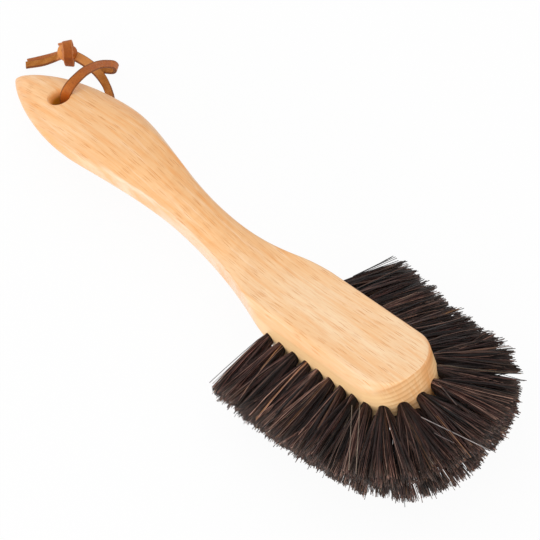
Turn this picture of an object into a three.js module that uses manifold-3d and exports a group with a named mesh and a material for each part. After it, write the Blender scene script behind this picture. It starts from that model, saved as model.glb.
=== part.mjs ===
import * as THREE from 'three';
import { mergeVertices } from 'three/addons/utils/BufferGeometryUtils.js';
import Module from 'manifold-3d';

// A dish brush: a cranked beech block, horsehair tufts round its head, a leather thong.
// Millimetres, +Z up. The brush lies as it rests on a table, on its rear tufts and the
// end of its handle, with +X along the handle towards the head.

// Clearances
const FIT_GAP = 0.3;

// Block, measured along its length from the end of the handle
const BLOCK_LENGTH = 252;
const BELLY_FROM_END = 60;
const BELLY_WIDTH = 30.8;
const NECK_FROM_END = 123;
const NECK_WIDTH = 16;
const HEAD_LENGTH = 78;
const HEAD_SIDE_TRIM = 0.1;
const HANDLE_THICKNESS = 12.4;
const NECK_THICKNESS = 14.4;
const HANDLE_RISE = 26;
const CRANK_FROM_END = 65;
const CRANK_PAST_SHOULDER = 6;
const END_DROP = 4;
const END_DROP_LENGTH = 36;
const HEAD_EDGE_RADIUS = 1.6;

// Curves of the block: how full the nose is in plan and from the side, how late the shoulder
// flares, and how much of the handle's section its rounded corners take
const NOSE_SIZE = 0.6;
const NOSE_PLAN_POWER = 0.92;
const NOSE_SIDE_POWER = 0.6;
const NOSE_SIDE_REACH = 6;
const SHOULDER_POWER = 2.2;
const HANDLE_CORNER_SHARE = 0.92;

// Hang hole through the handle
const HANG_HOLE_FROM_END = 36;
const HANG_HOLE_DIAMETER = 8;
const HANG_HOLE_MOUTH = 0.8;

// Tuft holes, on two staggered rows round the edge of the head, from its top to its underside
const UPPER_ROW_DEPTH = 11.2;
const ROW_GAP = 5.3;
const LOWER_ROW_EDGE = 3.5;
const TUFT_PITCH = 7.1;
const REAR_TUFT_FROM_SHOULDER = 7.7;
const TUFT_HOLE_DIAMETER = 4.2;
const TUFT_HOLE_DEPTH = 5.2;

// Hair
const UPPER_ROW_DROOP = 12.6;
const UPPER_HAIR_LENGTH = 29.2;
const LOWER_ROW_DROOP = 26;
const LOWER_HAIR_LENGTH = 27;
const STRANDS_PER_TUFT = 7;
const STRAND_SIDES = 3;
const STRAND_RING_SHARE = 0.6;
const STRAND_ROOT_SHARE = 0.4;
const STRAND_TIP_RADIUS = 0.34;
const TUFT_TIP_HEIGHT = 6.4;
const TUFT_FILL = 0.9;
const TRIM_UNEVENNESS = 1.4;
const TRIM_PHASE_PER_STRAND = 3;
const TRIM_PHASE_PER_MM = 5;
const BACKING_SLICE = 1;
const BACKING_SLICE_DEPTH = 2.4;

// Wire anchors
const ANCHOR_HEIGHT = 0.9;
const ANCHOR_THICKNESS = 0.5;

// Thong: a flat lace through the hang hole, its ends tied beyond the side of the handle
const LACE_WIDTH = 3.1;
const LACE_THICKNESS = 1.2;
const LACE_EDGE = 0.3;
const KNOT_LENGTH = 7.8;
const KNOT_HEIGHT = 6.8;
const WRAP_DIAMETER = 9.2;

// Routes of the lace in x, y, z from the floor below the hang hole, and the lace's turn in degrees,
// laid round a belly of this width
const LAID_ROUND_BELLY = 30.8;
const LOOP_ROUTE = [
  [-25.1, 23.6, 2.9, 0], [-21.9, 24.2, 2.8, 0], [-18, 24.6, 2.6, 0], [-13.8, 24.4, 2.5, 0],
  [-10.7, 24, 2, 0], [-7.6, 23.3, 1.4, 0], [-4.2, 22, 1.1, 0], [0.6, 19.4, 1.1, 0],
  [4, 14.6, 1.3, 0], [4.6, 8.6, 2, 0], [2.6, 3.6, 4.2, 5], [0.8, 1, 8.6, 25],
  [-0.1, 0.9, 13.4, 45], [-0.3, 1.7, 17.8, 60], [-0.4, 3, 21, 65], [-0.8, 5.2, 22.4, 65],
  [-1.5, 8.3, 22.6, 65], [-3.2, 13.1, 21.4, 65], [-5.2, 18, 18.6, 75], [-7.2, 22.8, 14.8, 85],
  [-8.3, 26.8, 10.6, 95], [-8.7, 29.2, 7.4, 105], [-8.8, 30, 4.6, 113], [-10, 29.4, 2.2, 113],
  [-12.7, 28, 1.1, 113], [-16.2, 26.2, 0.9, 113], [-21, 25.5, 0.9, 113], [-26.3, 24.6, 0.9, 113],
];
const REAR_TAIL_ROUTE = [
  [-32.6, 19.6, 2.4, 0], [-35.1, 17.4, 1, 0], [-36.7, 14.6, 0.8, 0], [-39.6, 9.3, 0.8, 0],
];
const FRONT_TAIL_ROUTE = [
  [-30.9, 17.4, 3.5, 0], [-32.4, 15, 2.7, 0], [-33.9, 12.4, 2.3, 0], [-37.5, 7.3, 2.2, 0],
];
const KNOT_PLACE = [-28.9, 21.2, 4.8];
const KNOT_HEADING = 42;

// Facets
const CORNER_STEPS = 5;
const HANDLE_STATIONS = 30;
const STATION_CROWDING = 1.25;
const FRONT_FACETS = 40;
const HANG_HOLE_SIDES = 16;
const LACE_STEPS_PER_POINT = 2;
const KNOT_FACETS = 12;
const TUFT_HOLE_SIDES = 6;
const TILT_PASSES = 9;

const wasm = await Module();
wasm.setup();

const finish = (name, color, roughness, metalness = 0) => (
  new THREE.MeshStandardMaterial({ name, color, roughness, metalness })
);
const beech = finish('beech', 0xf3c795, 0.55);
const horsehair = finish('horsehair', 0x2a2120, 0.45);
const leather = finish('leather', 0xa96942, 0.6);
const steel = finish('steel', 0xb9bcc0, 0.3, 1);

const { lerp, smoothstep, degToRad } = THREE.MathUtils;
const vec = (x, y, z) => new THREE.Vector3(x, y, z);

// Solids

function toSolid(geometry) {
  const bare = geometry.clone();
  bare.deleteAttribute('normal');
  bare.deleteAttribute('uv');
  const merged = mergeVertices(bare);
  return new wasm.Manifold(new wasm.Mesh({
    numProp: 3,
    vertProperties: new Float32Array(merged.attributes.position.array),
    triVerts: new Uint32Array(merged.index.array),
  }));
}

function toMesh(solid, name, material) {
  const { vertProperties, triVerts } = solid.getMesh();
  const geometry = new THREE.BufferGeometry();
  geometry.setAttribute('position', new THREE.BufferAttribute(vertProperties, 3));
  geometry.setIndex(new THREE.BufferAttribute(triVerts, 1));
  const mesh = new THREE.Mesh(geometry, material);
  mesh.name = name;
  return mesh;
}

const join = (solids) => solids.reduce((whole, solid) => whole.add(solid));

// Triangles between two rings of as many points, and over a ring's end
const band = (a, b, count) => Array.from({ length: count }, (_, i) => {
  const j = (i + 1) % count;
  return [a + i, a + j, b + i, a + j, b + j, b + i];
}).flat();
const lid = (a, count) => Array.from({ length: count - 2 }, (_, i) => [a, a + i + 1, a + i + 2]).flat();

function toSkin(points, index) {
  const geometry = new THREE.BufferGeometry().setFromPoints(points);
  geometry.setIndex(index);
  return toSolid(geometry);
}

// Skin over a row of rings, each a closed loop of as many points, with flat ends
function loft(rings) {
  const count = rings[0].length;
  const last = (rings.length - 1) * count;
  const index = [...lid(0, count).reverse(), ...lid(last, count)];
  for (let ring = 0; ring < last; ring += count) index.push(...band(ring, ring + count, count));
  return toSkin(rings.flat(), index);
}

// Straight piece with as many sides from one point to another, its first edge turned to one side
function rod(from, to, radius, endRadius, sides, side) {
  const ahead = to.clone().sub(from).normalize();
  const first = side.clone().addScaledVector(ahead, -side.dot(ahead)).normalize();
  const ring = (centre, r) => Array.from({ length: sides }, (_, i) => (
    first.clone().applyAxisAngle(ahead, i * 2 * Math.PI / sides).multiplyScalar(r).add(centre)
  ));
  return loft([ring(from, radius), ring(to, endRadius)]);
}

// Block, drawn with the head's top at z = 0 and its front at x = 0

// Belly and head come from one width of board, the head trimmed a little each side
const HEAD_RADIUS = BELLY_WIDTH / 2 - HEAD_SIDE_TRIM;
const FRONT_CENTRE = -HEAD_RADIUS;
const SHOULDER_FROM_END = BLOCK_LENGTH - HEAD_LENGTH;
const HEAD_THICKNESS = UPPER_ROW_DEPTH + ROW_GAP + LOWER_ROW_EDGE;
const HEAD_MIDDLE = -HEAD_THICKNESS / 2;
const CRANK_TO_END = SHOULDER_FROM_END + CRANK_PAST_SHOULDER;

// Half the plan width: a parabola to the belly, an easy waist, a parabola out to the shoulder
function halfWidth(fromEnd) {
  const belly = BELLY_WIDTH / 2;
  const neck = NECK_WIDTH / 2;
  if (fromEnd < BELLY_FROM_END) {
    const back = 1 - fromEnd / BELLY_FROM_END;
    return Math.max(NOSE_SIZE / 2, belly * (1 - back ** 2) ** NOSE_PLAN_POWER);
  }
  if (fromEnd < NECK_FROM_END) {
    return lerp(belly, neck, smoothstep(fromEnd, BELLY_FROM_END, NECK_FROM_END));
  }
  const out = Math.min(1, (fromEnd - NECK_FROM_END) / (SHOULDER_FROM_END - NECK_FROM_END));
  return lerp(neck, HEAD_RADIUS, out ** SHOULDER_POWER);
}

function thickness(fromEnd) {
  if (fromEnd < BELLY_FROM_END) {
    const back = 1 - fromEnd / BELLY_FROM_END;
    return Math.max(NOSE_SIZE, HANDLE_THICKNESS * (1 - back ** NOSE_SIDE_REACH) ** NOSE_SIDE_POWER);
  }
  const waist = lerp(HANDLE_THICKNESS, NECK_THICKNESS, smoothstep(fromEnd, BELLY_FROM_END, NECK_FROM_END));
  return lerp(waist, HEAD_THICKNESS, smoothstep(fromEnd, NECK_FROM_END, SHOULDER_FROM_END));
}

// Height of the section's middle: level handle, S-bend, level head
function middle(fromEnd) {
  const bend = smoothstep(fromEnd, CRANK_FROM_END, CRANK_TO_END);
  const drop = END_DROP * Math.max(0, 1 - fromEnd / END_DROP_LENGTH) ** 2;
  return HEAD_MIDDLE + HANDLE_RISE * (1 - bend) - drop;
}

// Rounded rectangle: nearly an oval on the handle, square with eased edges on the head
function section(fromEnd) {
  const w = halfWidth(fromEnd);
  const h = thickness(fromEnd) / 2;
  const square = smoothstep(fromEnd, NECK_FROM_END, SHOULDER_FROM_END);
  const a = lerp(w * HANDLE_CORNER_SHARE, HEAD_EDGE_RADIUS, square);
  const b = lerp(h * HANDLE_CORNER_SHARE, HEAD_EDGE_RADIUS, square);
  const ring = [];
  for (let corner = 0; corner < 4; corner += 1) {
    for (let step = 0; step <= CORNER_STEPS; step += 1) {
      const angle = (corner + step / CORNER_STEPS) * Math.PI / 2;
      const side = corner === 0 || corner === 3 ? 1 : -1;
      const up = corner < 2 ? 1 : -1;
      ring.push(vec(
        fromEnd - BLOCK_LENGTH,
        side * (w - a) + a * Math.cos(angle),
        middle(fromEnd) + up * (h - b) + b * Math.sin(angle),
      ));
    }
  }
  return ring;
}

function blockBody() {
  const rings = [];
  for (let i = 0; i <= HANDLE_STATIONS; i += 1) {
    const t = i / HANDLE_STATIONS;
    rings.push(section(SHOULDER_FROM_END * t ** STATION_CROWDING));
  }
  rings.push(section(CRANK_TO_END), section(BLOCK_LENGTH + FRONT_CENTRE));
  const profile = section(BLOCK_LENGTH).filter((p) => p.y > 0);
  profile.sort((p, q) => p.z - q.z);
  const outline = profile.map((p) => new THREE.Vector2(p.y, p.z));
  outline.unshift(new THREE.Vector2(0, outline[0].y));
  outline.push(new THREE.Vector2(0, outline[outline.length - 1].y));
  const front = new THREE.LatheGeometry(outline, FRONT_FACETS);
  front.rotateX(Math.PI / 2);
  front.translate(FRONT_CENTRE, 0, 0);
  return loft(rings).add(toSolid(front));
}

// Tuft rows. A place on a row is its distance from the front of the head, round the outline

const ARC_HALF = HEAD_RADIUS * Math.PI / 2;
const ROW_HALF = ARC_HALF + HEAD_LENGTH - HEAD_RADIUS - REAR_TUFT_FROM_SHOULDER;
const PITCHES_HALF = Math.floor(ROW_HALF / TUFT_PITCH);
const PITCH = ROW_HALF / PITCHES_HALF;
const HOLE_RADIUS = TUFT_HOLE_DIAMETER / 2;
const PLUG_RADIUS = HOLE_RADIUS - FIT_GAP;
const STRAND_RING = PLUG_RADIUS * STRAND_RING_SHARE;
const STRAND_ROOT_RADIUS = STRAND_RING * STRAND_ROOT_SHARE;

const ROWS = [{
  name: 'upper',
  depth: UPPER_ROW_DEPTH,
  droop: UPPER_ROW_DROOP,
  length: UPPER_HAIR_LENGTH,
  shift: 0,
}, {
  name: 'lower',
  depth: UPPER_ROW_DEPTH + ROW_GAP,
  droop: LOWER_ROW_DROOP,
  length: LOWER_HAIR_LENGTH,
  shift: 0.5,
}];

// Mouth of a tuft hole, the way its hair points, and the directions along and across the row
function seat(row, place) {
  const turn = THREE.MathUtils.clamp(place / HEAD_RADIUS, -Math.PI / 2, Math.PI / 2);
  const straight = Math.max(0, Math.abs(place) - ARC_HALF);
  const out = vec(Math.cos(turn), Math.sin(turn), 0);
  const mouth = out.clone().multiplyScalar(HEAD_RADIUS);
  mouth.add(vec(FRONT_CENTRE - straight, 0, -row.depth));
  const droop = degToRad(row.droop);
  const axis = out.multiplyScalar(Math.cos(droop)).add(vec(0, 0, -Math.sin(droop)));
  const along = vec(-Math.sin(turn), Math.cos(turn), 0);
  return { mouth, axis, along, across: axis.clone().cross(along) };
}

const deep = (at, depth) => at.mouth.clone().addScaledVector(at.axis, -depth);

// Places of one row's tufts, from the right side round the front to the left
function places(row) {
  const list = [];
  for (let i = -PITCHES_HALF + row.shift; i <= PITCHES_HALF; i += 1) list.push(i * PITCH);
  return list;
}

function tuftHoles(row) {
  return places(row).map((place) => {
    const at = seat(row, place);
    const [bottom, mouth] = [deep(at, TUFT_HOLE_DEPTH), deep(at, -HOLE_RADIUS)];
    return rod(bottom, mouth, HOLE_RADIUS, HOLE_RADIUS, TUFT_HOLE_SIDES, at.along);
  });
}

// The slice of backing that holds a row's tufts in one piece, and the kerf it lies in
function backing(row, list, width) {
  const points = list.map((place) => deep(seat(row, place), BACKING_SLICE_DEPTH));
  const corner = width / Math.SQRT2;
  const cornerwise = vec(1, 1, 1);
  return points.slice(1).map((point, i) => rod(points[i], point, corner, corner, 4, cornerwise));
}

// One tuft: a plug in the hole, and straight strands that fan out from its face to fill the pitch
function tuft(row, place) {
  const at = seat(row, place);
  const put = (x, y, depth) => (
    deep(at, depth).addScaledVector(at.along, x).addScaledVector(at.across, y)
  );
  const polygon = (sides, radius, x, y) => Array.from({ length: sides }, (_, i) => {
    const angle = i * 2 * Math.PI / sides;
    return new THREE.Vector2(x + radius * Math.cos(angle), y + radius * Math.sin(angle));
  });
  const tip = (where) => deep(seat(row, where), -row.length);
  const rim = polygon(TUFT_HOLE_SIDES, PLUG_RADIUS, 0, 0);
  const roots = [];
  const tips = [];
  for (let i = 0; i < STRANDS_PER_TUFT; i += 1) {
    const angle = i * 2 * Math.PI / (STRANDS_PER_TUFT - 1);
    const along = i && Math.cos(angle);
    const across = i && Math.sin(angle);
    const wide = tip(place).distanceTo(tip(place + Math.sign(along) * PITCH / 2)) * TUFT_FILL;
    const phase = TRIM_PHASE_PER_STRAND * i + TRIM_PHASE_PER_MM * Math.abs(place);
    const uneven = TRIM_UNEVENNESS * Math.sin(phase);
    roots.push(polygon(STRAND_SIDES, STRAND_ROOT_RADIUS, along * STRAND_RING, across * STRAND_RING));
    const end = polygon(STRAND_SIDES, STRAND_TIP_RADIUS, along * wide, across * TUFT_TIP_HEIGHT / 2);
    tips.push(...end.map((p) => put(p.x, p.y, uneven - row.length)));
  }
  const face = [...rim, ...roots.flat()].map((p) => put(p.x, p.y, 0));
  const bottom = rim.map((p) => put(p.x, p.y, TUFT_HOLE_DEPTH - 2 * FIT_GAP - ANCHOR_HEIGHT));
  const low = face.length + tips.length;
  const index = THREE.ShapeUtils.triangulateShape(rim, roots).flat();
  index.push(...lid(low, rim.length).reverse(), ...band(low, 0, rim.length));
  for (let root = rim.length; root < face.length; root += STRAND_SIDES) {
    const end = face.length + root - rim.length;
    index.push(...band(root, end, STRAND_SIDES), ...lid(end, STRAND_SIDES));
  }
  return toSkin([...face, ...tips, ...bottom], index);
}

function anchor(row, place) {
  const at = seat(row, place);
  const geometry = new THREE.BoxGeometry(2 * PLUG_RADIUS, ANCHOR_HEIGHT, ANCHOR_THICKNESS);
  const basis = new THREE.Matrix4().makeBasis(at.along, at.axis, at.along.clone().cross(at.axis));
  basis.setPosition(deep(at, TUFT_HOLE_DEPTH - FIT_GAP - ANCHOR_HEIGHT / 2));
  return toSolid(geometry.applyMatrix4(basis));
}

// Hang hole with eased mouths
function hangHole() {
  const bore = HANG_HOLE_DIAMETER / 2;
  const half = thickness(HANG_HOLE_FROM_END) / 2;
  const profile = [
    [0, -half - HANG_HOLE_MOUTH], [bore + 2 * HANG_HOLE_MOUTH, -half - HANG_HOLE_MOUTH],
    [bore, -half + HANG_HOLE_MOUTH], [bore, half - HANG_HOLE_MOUTH],
    [bore + 2 * HANG_HOLE_MOUTH, half + HANG_HOLE_MOUTH], [0, half + HANG_HOLE_MOUTH],
  ].map(([r, z]) => new THREE.Vector2(r, z));
  const geometry = new THREE.LatheGeometry(profile, HANG_HOLE_SIDES);
  geometry.rotateX(Math.PI / 2);
  geometry.translate(HANG_HOLE_FROM_END - BLOCK_LENGTH, 0, middle(HANG_HOLE_FROM_END));
  return toSolid(geometry);
}

// Brush, turned to lie on its rear tufts and the end of its handle

const brush = new THREE.Group();
const cuts = [hangHole()];
for (const row of ROWS) {
  const list = places(row);
  cuts.push(...tuftHoles(row), ...backing(row, list, BACKING_SLICE + 2 * FIT_GAP));
  const split = -PITCH / 4;
  const right = list.filter((place) => place < split);
  const left = list.filter((place) => place >= split);
  for (const [side, half] of [['left', left], ['right', right]]) {
    const hair = join([...half.map((place) => tuft(row, place)), ...backing(row, half, BACKING_SLICE)]);
    brush.add(toMesh(hair, `tufts_${row.name}_${side}`, horsehair));
  }
  list.forEach((place, i) => {
    brush.add(toMesh(anchor(row, place), `anchor_${row.name}_${String(i + 1).padStart(2, '0')}`, steel));
  });
}
brush.add(toMesh(blockBody().subtract(join(cuts)), 'beech_block', beech));

// Tilt at which the lowest points of the handle and of the hair touch one level line
function restTilt(meshes) {
  const points = meshes.flatMap((mesh) => {
    const { array } = mesh.geometry.attributes.position;
    return Array.from({ length: array.length / 3 }, (_, i) => vec(array[3 * i], 0, array[3 * i + 2]));
  });
  const neck = NECK_FROM_END - BLOCK_LENGTH;
  const lowest = (list, slope) => list.reduce((a, b) => (b.z - slope * b.x < a.z - slope * a.x ? b : a));
  const ends = [points.filter((p) => p.x < neck), points.filter((p) => p.x > neck)];
  let slope = 0;
  for (let pass = 0; pass < TILT_PASSES; pass += 1) {
    const [rear, fore] = ends.map((list) => lowest(list, slope));
    slope = (fore.z - rear.z) / (fore.x - rear.x);
  }
  return Math.atan(slope);
}

brush.rotation.y = restTilt(brush.children);
const box = new THREE.Box3().setFromObject(brush, true);
brush.position.set(-(box.min.x + box.max.x) / 2, -(box.min.y + box.max.y) / 2, -box.min.z);

// A point of a route moves out with the side of the handle
const laid = ([x, y, z]) => vec(x, y * BELLY_WIDTH / LAID_ROUND_BELLY, z);

// Flat lace along a route, its face carried along without twisting apart from the given turn
function lace(route) {
  const curve = new THREE.CatmullRomCurve3(route.map(laid));
  const w = LACE_WIDTH / 2;
  const h = LACE_THICKNESS / 2;
  const outline = [[w, h - LACE_EDGE], [w - LACE_EDGE, h], [LACE_EDGE - w, h], [-w, h - LACE_EDGE]];
  outline.push(...outline.map(([x, y]) => [-x, -y]));
  const face = vec(0, 0, 1);
  const spans = route.length - 1;
  const rings = [];
  let before = curve.getTangent(0);
  for (let i = 0; i <= LACE_STEPS_PER_POINT * spans; i += 1) {
    const where = i / LACE_STEPS_PER_POINT;
    const ahead = curve.getTangent(where / spans);
    face.applyQuaternion(new THREE.Quaternion().setFromUnitVectors(before, ahead));
    const [k, next] = [Math.floor(where), Math.ceil(where)];
    const turn = degToRad(lerp(route[k][3], route[next][3], where - k));
    const turned = face.clone().applyAxisAngle(ahead, turn);
    const side = turned.clone().cross(ahead);
    const centre = curve.getPoint(where / spans);
    rings.push(outline.map(([x, y]) => centre.clone().addScaledVector(side, x).addScaledVector(turned, y)));
    before = ahead;
  }
  return loft(rings);
}

// Overhand knot: a lump where both ends cross, with one turn of lace round it
function knot() {
  const heading = vec(1, 0, 0).applyAxisAngle(vec(0, 0, 1), degToRad(KNOT_HEADING));
  const centre = laid(KNOT_PLACE);
  const lump = new THREE.SphereGeometry(1, KNOT_FACETS, KNOT_FACETS / 2);
  lump.scale(KNOT_LENGTH / 2, KNOT_HEIGHT / 2, KNOT_HEIGHT / 2);
  lump.rotateZ(degToRad(KNOT_HEADING));
  lump.translate(centre.x, centre.y, centre.z);
  const end = (way) => centre.clone().addScaledVector(heading, way * LACE_WIDTH / 2);
  const turn = rod(end(-1), end(1), WRAP_DIAMETER / 2, WRAP_DIAMETER / 2, KNOT_FACETS, vec(0, 0, 1));
  return toSolid(lump).add(turn);
}

const thong = new THREE.Group();
thong.add(toMesh(lace(LOOP_ROUTE), 'thong_loop', leather));
thong.add(toMesh(knot(), 'thong_knot', leather));
thong.add(toMesh(lace(FRONT_TAIL_ROUTE), 'thong_tail_front', leather));
thong.add(toMesh(lace(REAR_TAIL_ROUTE), 'thong_tail_rear', leather));
const hangHoleCentre = vec(HANG_HOLE_FROM_END - BLOCK_LENGTH, 0, middle(HANG_HOLE_FROM_END));
brush.updateMatrix();
thong.position.copy(hangHoleCentre.applyMatrix4(brush.matrix)).setZ(0);

const dishBrush = new THREE.Group();
dishBrush.add(brush, thong);
export default dishBrush;
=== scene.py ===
"""Looks of a dish brush: a cranked beech block, horsehair tufts fanned round its head and a
leather lace through the handle. Shapes are drawn in millimetres and made in metres."""
import math

import bmesh
import bpy
import numpy as np
from mathutils import Matrix, Vector


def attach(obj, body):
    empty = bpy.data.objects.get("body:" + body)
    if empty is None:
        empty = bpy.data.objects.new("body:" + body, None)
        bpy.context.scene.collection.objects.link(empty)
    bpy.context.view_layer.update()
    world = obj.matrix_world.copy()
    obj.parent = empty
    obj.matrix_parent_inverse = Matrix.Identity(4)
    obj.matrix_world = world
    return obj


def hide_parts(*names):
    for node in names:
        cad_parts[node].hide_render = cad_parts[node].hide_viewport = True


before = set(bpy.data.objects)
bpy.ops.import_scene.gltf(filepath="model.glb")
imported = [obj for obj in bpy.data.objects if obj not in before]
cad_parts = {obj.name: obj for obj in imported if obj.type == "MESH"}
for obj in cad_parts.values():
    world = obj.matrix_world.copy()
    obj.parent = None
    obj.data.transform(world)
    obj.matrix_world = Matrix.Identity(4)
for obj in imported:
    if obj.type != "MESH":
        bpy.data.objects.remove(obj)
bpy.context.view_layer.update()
MM = 0.001

# Rest place of the brush: the head's top at z = 0 and its front at x = 0 before this turn
TILT_COS, TILT_SIN = 0.9749354908786151, 0.2224877269093148
REST_X, REST_Z = 107.83804320361102, 45.75852363625873
REST = Matrix((
    (TILT_COS, 0, -TILT_SIN, REST_X * MM),
    (0, 1, 0, 0),
    (TILT_SIN, 0, TILT_COS, REST_Z * MM),
    (0, 0, 0, 1),
))
# The hang hole at rest: its middle, half its depth, and the floor below it
HOLE_X, HOLE_Z, HOLE_HALF_DEPTH = -106.30782646, 13.3, 6.2
HOLE_FLOOR = np.array([HOLE_X, 0, 0])

# The knot's middle from the floor below the hang hole, and its own axes: along the lace, up its
# near side, and out of it
KNOT_PLACE = np.array([-28.9, 21.2, 4.8])
KNOT_ALONG = np.array([0.743145, 0.669131, 0.0])
KNOT_OUT = np.array([0.418282, -0.464394, 0.780515])
KNOT_UP = np.cross(KNOT_OUT, KNOT_ALONG)
KNOT_AXES = np.array([KNOT_ALONG, KNOT_UP, KNOT_OUT])


def placed(name, data):
    thing = bpy.data.objects.new(name, data)
    bpy.context.scene.collection.objects.link(thing)
    return thing


# Camera at the photograph's viewing angle

CAMERA_PLACE = (1.09059163, -0.57366445, 1.45380859)
CAMERA_RIGHT = (0.6134427, 0.77589945, -0.14720089)
CAMERA_UP = (-0.54577195, 0.55122804, 0.63109479)
CAMERA_BACK = (0.57080736, -0.30680237, 0.76161097)
CAMERA_SENSOR, CAMERA_LENS, CAMERA_CLIP = 36, 348.6, (0.1, 20)


def place_camera():
    data = bpy.data.cameras.new("camera")
    data.sensor_width = CAMERA_SENSOR
    data.lens = CAMERA_LENS
    data.clip_start, data.clip_end = CAMERA_CLIP
    camera = placed("camera", data)
    turn = Matrix((CAMERA_RIGHT, CAMERA_UP, CAMERA_BACK)).transposed().to_4x4()
    camera.matrix_world = Matrix.Translation(CAMERA_PLACE) @ turn
    bpy.context.scene.camera = camera


place_camera()


# Shader helpers

def srgb(r, g, b):
    """Linear colour of an sRGB one given in 0 to 255."""
    def one(c):
        c /= 255
        return c / 12.92 if c <= 0.04045 else ((c + 0.055) / 1.055) ** 2.4
    return (one(r), one(g), one(b), 1)


class Shader:
    """A material or a world whose nodes are added one by one."""

    def __init__(self, name, kind="materials"):
        self.owner = getattr(bpy.data, kind).new(name)
        self.owner.use_nodes = True
        self.tree = self.owner.node_tree
        self.tree.nodes.clear()

    def add(self, kind, inputs=None, **props):
        node = self.tree.nodes.new("ShaderNode" + kind)
        for key, value in props.items():
            setattr(node, key, value)
        for key, value in (inputs or {}).items():
            if isinstance(value, bpy.types.NodeSocket):
                self.tree.links.new(value, node.inputs[key])
            else:
                node.inputs[key].default_value = value
        return node

    def math(self, operation, a, b=0.0, c=0.0):
        return self.add("Math", {0: a, 1: b, 2: c}, operation=operation).outputs[0]

    def times(self, a, b):
        return self.math("MULTIPLY", a, b)

    def diagonal(self, a, b):
        return self.math("SQRT", self.math("ADD", self.times(a, a), self.times(b, b)))

    def vector(self, operation, a, b):
        return self.add("VectorMath", {0: a, 1: b}, operation=operation).outputs[0]

    def dot(self, a, b):
        return self.add("VectorMath", {0: a, 1: b}, operation="DOT_PRODUCT").outputs["Value"]

    def ramp(self, value, low, high, to_low=0.0, to_high=1.0):
        """A smooth step of value between low and high."""
        node = self.add("MapRange", {
            "Value": value, "From Min": low, "From Max": high,
            "To Min": to_low, "To Max": to_high,
        }, interpolation_type="SMOOTHSTEP")
        return node.outputs["Result"]

    def noise(self, vector, scale=1.0, detail=2.0, rough=0.5):
        node = self.add("TexNoise", {
            "Vector": vector, "Scale": scale, "Detail": detail, "Roughness": rough})
        return node.outputs["Fac"]

    def spots(self, vector, scale=1.0):
        return self.add("TexVoronoi", {"Vector": vector, "Scale": scale}).outputs

    def mix(self, share, a, b):
        return self.add("Mix", {0: share, 6: a, 7: b}, data_type="RGBA").outputs[2]

    def between(self, share, colours):
        return self.mix(share, *(srgb(*colour) for colour in colours))

    def tint(self, colour, share, other):
        return self.mix(share, colour, srgb(*other))

    def millimetres(self):
        place = self.add("TexCoord").outputs["Object"]
        return self.add("VectorMath", {0: place, 3: 1 / MM}, operation="SCALE").outputs[0]

    def along_knot(self, place, axis):
        """How far a place lies from the knot's middle along one of its axes."""
        apart = self.vector("SUBTRACT", place, tuple(HOLE_FLOOR + KNOT_PLACE))
        return self.dot(apart, tuple(axis))

    def finish(self, colour, roughness, specular, height=None, deep=0.0, **more):
        """The material with these values and a bump of a height map so many millimetres deep."""
        inputs = {"Base Color": colour, "Roughness": roughness, "Specular IOR Level": specular, **more}
        if height is not None:
            bump = self.add("Bump", {"Height": height, "Distance": deep * MM})
            inputs["Normal"] = bump.outputs[0]
        skin = self.add("BsdfPrincipled", inputs)
        self.add("OutputMaterial", {"Surface": skin.outputs[0]})
        return self.owner


# Beech

BLOCK_LENGTH = 252
# The hang hole: its place, size and top on the block, and the ease of its mouth
HANG_FROM_END, HANG_DIAMETER, HANG_TOP = 36, 7.0, 22.2
HANG_EASE_WIDE, HANG_EASE_DEEP = 2.9, 3.2
# Middle of the trunk below the block, gap of its growth rings, and how far they sway
PITH_Y, PITH_Z, RING_GAP = 5.0, -92.0, 1.9
SWAY, SWAY_SCALE, SWAY_OTHER = 7.0, (0.006, 0.02, 0.02), (9, 4, 7)
# Cells of the wood's marks in millimetres: along the block, round the rings and across them
RING_CELL, DASH_CELL, SPECK_CELL, RAY_CELL = (100, 1e6, 4), (10, 0.25, 6), (3.4, 0.36, 4), (2, 0.5, 8)
FIBRE_CELL, STREAK_CELL, DRIFT_CELL = (18, 0.5, 4), (32, 1.4, 10), (45, 9, 9)
# Stretches over which tints come in, some of them painted shade and painted light: from the head's
# front, then across the block and up it
HANDLE_RUN, FLANK_SHADE_RUN, HEAD_RUN, FRONT_RUN = (-62, -128), (-82, -94), (-88, -74), (-30, -12)
NECK_REAR_RUN, NECK_FRONT_RUN = (-195, -150), (-76, -88)
# Across the block to its far half, which gets painted shade, and down the head's side walls, whose
# lower part gets painted light
FAR_SHADE_RUN, WALL_LIGHT_RUN = (-3, 9), (-2, -6)
# The way faced by the front edge's rounded right corner, where shade is painted
SHADED_CORNER_WAY = (0.62, 0.70, 0.35)
BEECH_TONES = (253, 219, 176), (251, 206, 155)


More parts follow.
